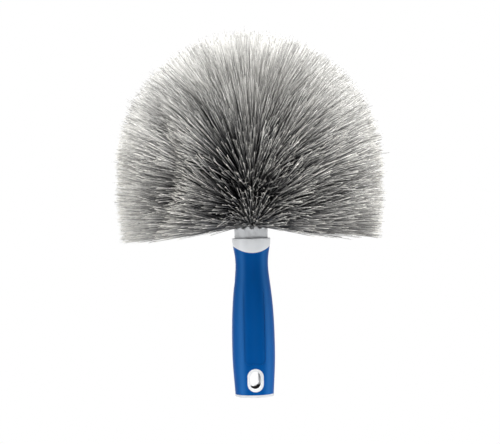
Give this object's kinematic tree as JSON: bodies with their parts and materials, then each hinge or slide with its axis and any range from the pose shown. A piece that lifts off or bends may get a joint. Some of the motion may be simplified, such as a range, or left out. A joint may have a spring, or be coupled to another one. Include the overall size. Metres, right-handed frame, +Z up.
{
  "type": "cobweb brush",
  "caption": "Hand cobweb brush: a domed head of grey bristle tufts on a white block, on a blue-gripped handle with an oval hang hole and a pole socket.",
  "frame": {"origin": "centre of the pole socket's mouth, at the foot of the handle", "axes": "+Z up the handle through the head, -Y the handle's front, +X to the right seen from the front"},
  "size_m": [0.247, 0.247, 0.3365],
  "materials": {
    "white_plastic": "satin",
    "blue_grip": "satin",
    "bristle": "satin",
    "steel": "satin"
  },
  "bodies": {
    "root": {"brush_block": "white_plastic", "grip_sleeve": "blue_grip", "handle_core": "white_plastic", "head_screw": "steel", "staples": "steel", "tuft_1_01": "bristle", "tuft_1_02": "bristle", "tuft_1_03": "bristle", "tuft_1_04": "bristle", "tuft_1_05": "bristle", "tuft_1_06": "bristle", "tuft_1_07": "bristle", "tuft_1_08": "bristle", "tuft_1_09": "bristle", "tuft_1_10": "bristle", "tuft_1_11": "bristle", "tuft_1_12": "bristle", "tuft_2_01": "bristle", "tuft_2_02": "bristle", "tuft_2_03": "bristle", "tuft_2_04": "bristle", "tuft_2_05": "bristle", "tuft_2_06": "bristle", "tuft_2_07": "bristle", "tuft_2_08": "bristle", "tuft_3_01": "bristle", "tuft_3_02": "bristle", "tuft_3_03": "bristle", "tuft_3_04": "bristle", "tuft_3_05": "bristle", "tuft_3_06": "bristle", "tuft_3_07": "bristle", "tuft_3_08": "bristle", "tuft_4_01": "bristle", "tuft_4_02": "bristle", "tuft_4_03": "bristle", "tuft_4_04": "bristle", "tuft_4_05": "bristle", "tuft_4_06": "bristle", "tuft_4_07": "bristle", "tuft_4_08": "bristle", "tuft_5_01": "bristle", "tuft_5_02": "bristle", "tuft_5_03": "bristle", "tuft_5_04": "bristle", "tuft_5_05": "bristle", "tuft_5_06": "bristle", "tuft_5_07": "bristle", "tuft_5_08": "bristle", "tuft_6_01": "bristle", "tuft_6_02": "bristle", "tuft_6_03": "bristle", "tuft_6_04": "bristle", "tuft_6_05": "bristle", "tuft_6_06": "bristle", "tuft_6_07": "bristle", "tuft_7_01": "bristle", "tuft_7_02": "bristle", "tuft_7_03": "bristle"}
  },
  "joints": []
}
